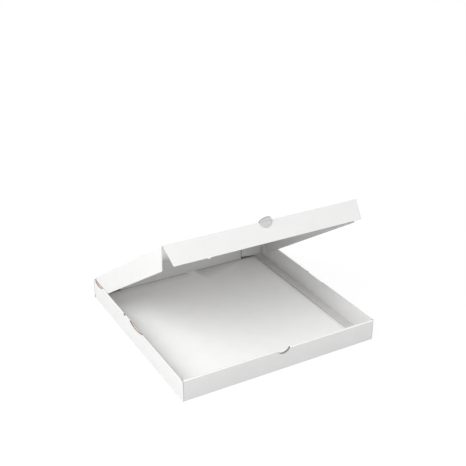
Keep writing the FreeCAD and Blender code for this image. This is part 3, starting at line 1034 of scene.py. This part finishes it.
def make_front_flap(s):
    """The front flap with its fold, its hole and its nub, in the lid's own frame."""
    fold = Vector((0.0, -s.lid_length, s.lid_clear))
    down = Vector((0.0, -math.sin(s.splay), -math.cos(s.splay)))
    out = Vector((0.0, -math.cos(s.splay), math.sin(s.splay)))
    half = s.lid_half - s.front_root
    root = fold + out * s.board
    foot = root + down * s.lid_flap
    flap = start_strip("flap_sheet", along_x, -half, half, (root.y, root.z), (foot.y, foot.z))
    ends = []
    for side in (-1.0, 1.0):
        point = fold + Vector((half * side, 0.0, 0.0))
        slant = Vector((s.lid_flap * side, 0.0, 0.0)) + down * s.front_taper
        ends.append((point, slant))
        cut_across(flap, point, slant, clear=True)
    for side in (-1.0, 1.0):
        cut_across(flap, (-s.nub_place + side * s.nub_width / 2, 0.0, 0.0), (1.0, 0.0, 0.0))
    on_foot = lambda point: (point - foot).dot(down) > -TOUCH
    at_nub = lambda point: abs(point.x + s.nub_place) < s.nub_width / 2 + TOUCH
    fold_on(flap, lambda point: on_foot(point) and at_nub(point), [tuple(down * s.nub_height)])
    edit(flap, "VERT", lambda point: (point - foot).dot(down) > s.nub_height / 2)
    bpy.ops.transform.resize(value=(0.6, 1.0, 1.0), center_override=(-s.nub_place, foot.y, foot.z))
    done()
    # The fold: the top edge is carried round the fold line, a few degrees at a time.
    arc = math.pi / 2 - s.splay
    steps = []
    place = root
    for count in range(1, FOLD_STEPS + 1):
        turned = s.splay + arc * count / FOLD_STEPS
        point = fold + Vector((0.0, -math.cos(turned), math.sin(turned))) * s.board
        steps.append(tuple(point - place))
        place = point
    fold_on(flap, lambda point: (point - root).dot(down) < TOUCH, steps)
    face_towards(flap, foot + (root - foot) / 2, out)
    give_board(flap, s.board * THINNER)
    radius = tongue_radius(s)
    bpy.ops.object.select_all(action="DESELECT")
    bpy.ops.mesh.primitive_cylinder_add(
        vertices=192,
        radius=radius + s.tongue_clear,
        depth=s.board * 12,
        location=fold - down * (radius - s.tongue_depth),
        rotation=(math.pi / 2 - s.splay, 0.0, 0.0),
    )
    # The hole's cut edge gets the dark colour, as painted shade.
    cut_out(flap, bpy.context.object, PAINTED_DARK)
    give_finish(flap, on_foot, OUTER)
    for point, slant in ends:
        on_end = lambda middle: near((middle - point).dot(slant.normalized()), 0.0)
        give_finish(flap, on_end, OUTER)
    return flap


class PIZZABOX_OT_front_flap(bpy.types.Operator):
    """Folds the lid's front flap, which bends at the lid's front crease"""

    bl_idname = "pizza_box.front_flap"
    bl_label = "Front flap"

    def execute(self, context):
        s = box_sizes()
        flap = make_front_flap(s)
        flap.name = "front_flap_board"
        lay_flat(flap)
        put_on_lid(flap)
        finish_piece(flap)
        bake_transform(flap)
        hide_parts("front_flap")
        return {"FINISHED"}


class PIZZABOX_OT_hinge_fold(bpy.types.Operator):
    """Bends the board from the back wall's top to the lid's rear edge"""

    bl_idname = "pizza_box.hinge_fold"
    bl_label = "Hinge fold"

    def execute(self, context):
        s = box_sizes()
        placed = lid_matrix()
        rear = s.half_depth
        lip = s.height - HINGE_LIP
        lid_top = placed @ Vector((0.0, -s.lid_clear, s.lid_clear + s.board))
        lid_deep = placed @ Vector((0.0, -s.lid_clear * 4, s.lid_clear + s.board))
        reach = s.lid_half - s.board * 0.4
        low = s.height - s.board * 1.5
        fold = start_strip("hinge_fold", along_x, -reach, reach, (rear, low), (rear, lip))
        # The board bulges out a little on its way from the wall to the lid.
        bulge = Vector((0.0, 0.00012, 0.0))
        points = [Vector((0.0, rear, lip))]
        for count in range(1, FOLD_STEPS + 1):
            along = count / FOLD_STEPS
            points.append(points[0].lerp(lid_top, along) + bulge * math.sin(math.pi * along))
        points.append(lid_deep)
        steps = [tuple(two - one) for one, two in zip(points, points[1:])]
        fold_on(fold, lambda point: near(point.z, lip), steps)
        face_towards(fold, (0.0, rear, s.height - s.board), (0.0, 1.0, 0.0))
        give_board(fold, s.board * 0.96)
        lay_flat(fold)
        finish_piece(fold)
        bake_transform(fold)
        return {"FINISHED"}


# The stage.

LAMP_SIZE = 1.6
LAMP_TARGET = Vector((0.0, 0.0, 0.05))
KEY_PLACE = (-1.75, -0.42, 1.69)
FILL_PLACE = (-1.2, -1.4, 1.7)
GLOW = 1.07  # brightness of the floor of the stage where the camera sees it


def seen_by_camera(tree):
    """A mask of the rays that come from the camera, straight or by a reflection."""
    path = node(tree, "ShaderNodeLightPath")
    seen = math_node(tree, "MAXIMUM", path.outputs["Is Camera Ray"], path.outputs["Is Glossy Ray"])
    return math_node(tree, "MAXIMUM", seen, path.outputs["Is Transmission Ray"])


def backdrop_material(share_of_glow):
    """A pale floor that looks white in the picture and keeps the box's soft shadow."""
    material, shader = start_material("studio_floor")
    shader.inputs["Base Color"].default_value = (0.72, 0.72, 0.72, 1.0)
    shader.inputs["Roughness"].default_value = 0.9
    tree = material.node_tree
    glow = node(tree, "ShaderNodeEmission", values={"Strength": GLOW})
    mix = node(tree, "ShaderNodeMixShader")
    tree.links.new(math_node(tree, "MULTIPLY", seen_by_camera(tree), share_of_glow), mix.inputs["Fac"])
    tree.links.new(shader.outputs["BSDF"], mix.inputs[1])
    tree.links.new(glow.outputs["Emission"], mix.inputs[2])
    output = [item for item in tree.nodes if item.type == "OUTPUT_MATERIAL"][0]
    tree.links.new(mix.outputs["Shader"], output.inputs["Surface"])
    return material


def make_world(strength):
    """Even light from all round, seen as white."""
    world = bpy.data.worlds.new("studio_sky")
    bpy.context.scene.world = world
    world.use_nodes = True
    tree = world.node_tree
    backdrop = tree.nodes["Background"]
    bright = ramp(tree, seen_by_camera(tree), 0.0, 1.0, strength, 1.0)
    tree.links.new(bright, backdrop.inputs["Strength"])
    backdrop.inputs["Color"].default_value = (1.0, 1.0, 1.0, 1.0)


def make_lamp(name, place, watts):
    """A large soft lamp that points at the box."""
    data = bpy.data.lights.new(name, "AREA")
    data.shape = "DISK"
    data.size = LAMP_SIZE
    data.energy = watts
    lamp = bpy.data.objects.new(name, data)
    bpy.context.scene.collection.objects.link(lamp)
    way = LAMP_TARGET - Vector(place)
    lamp.matrix_world = Matrix.Translation(place) @ way.to_track_quat("-Z", "Y").to_matrix().to_4x4()


def make_camera(studio):
    """The camera, at the photograph's viewing angle."""
    turn, rise = studio.turn, studio.rise
    back = Vector((math.sin(turn) * math.cos(rise), -math.cos(turn) * math.cos(rise), math.sin(rise)))
    right = Vector((math.cos(turn), math.sin(turn), 0.0))
    up = back.cross(right)
    across = right * math.cos(studio.roll) + up * math.sin(studio.roll)
    above = up * math.cos(studio.roll) - right * math.sin(studio.roll)
    data = bpy.data.cameras.new("camera")
    data.lens = studio.lens
    data.sensor_width = 36.0
    data.clip_start = 0.01
    camera = bpy.data.objects.new("camera", data)
    bpy.context.scene.collection.objects.link(camera)
    axes = Matrix((across, above, back)).transposed().to_4x4()
    camera.matrix_world = Matrix.Translation(studio.eye) @ axes
    bpy.context.scene.camera = camera


class PIZZABOX_OT_stage(bpy.types.Operator):
    """Sets up the pale floor, the soft light and the camera"""

    bl_idname = "pizza_box.stage"
    bl_label = "Stage"

    def execute(self, context):
        studio = context.scene.pizza_box_studio
        bpy.ops.object.select_all(action="DESELECT")
        bpy.ops.mesh.primitive_plane_add(size=12.0, location=(0.0, 0.0, -0.0002))
        floor = context.object
        floor.name = "studio_floor"
        floor.data.materials.append(backdrop_material(studio.glow))
        make_world(studio.sky)
        make_lamp("key_lamp", KEY_PLACE, studio.key)
        make_lamp("fill_lamp", FILL_PLACE, studio.fill)
        make_camera(studio)
        context.scene.view_settings.view_transform = "Standard"
        return {"FINISHED"}


class PIZZABOX_PT_panel(bpy.types.Panel):
    """Lists the pieces, their sizes and their colours"""

    bl_idname = "PIZZABOX_PT_panel"
    bl_label = "Pizza box"
    bl_space_type = "VIEW_3D"
    bl_region_type = "UI"
    bl_category = "Pizza box"

    def draw(self, context):
        layout = self.layout
        for operator in OPERATORS:
            layout.operator(operator.bl_idname)
        for group in GROUPS:
            owner = getattr(context.scene, GROUPS[group])
            layout.label(text=group.__doc__)
            for name in group.__annotations__:
                layout.prop(owner, name)


GROUPS = {
    BoxSizes: "pizza_box_sizes",
    BoxColours: "pizza_box_colours",
    BoxStudio: "pizza_box_studio",
}
OPERATORS = (
    PIZZABOX_OT_finishes,
    PIZZABOX_OT_tray,
    PIZZABOX_OT_lid,
    PIZZABOX_OT_front_flap,
    PIZZABOX_OT_hinge_fold,
    PIZZABOX_OT_stage,
)


def register():
    for item in (*GROUPS, *OPERATORS, PIZZABOX_PT_panel):
        bpy.utils.register_class(item)
    for group, name in GROUPS.items():
        setattr(bpy.types.Scene, name, bpy.props.PointerProperty(type=group))


def unregister():
    for name in GROUPS.values():
        delattr(bpy.types.Scene, name)
    for item in reversed((*GROUPS, *OPERATORS, PIZZABOX_PT_panel)):
        bpy.utils.unregister_class(item)


def main():
    register()
    for operator in OPERATORS:
        family, name = operator.bl_idname.split(".")
        getattr(getattr(bpy.ops, family), name)()


if __name__ == "__main__":
    main()
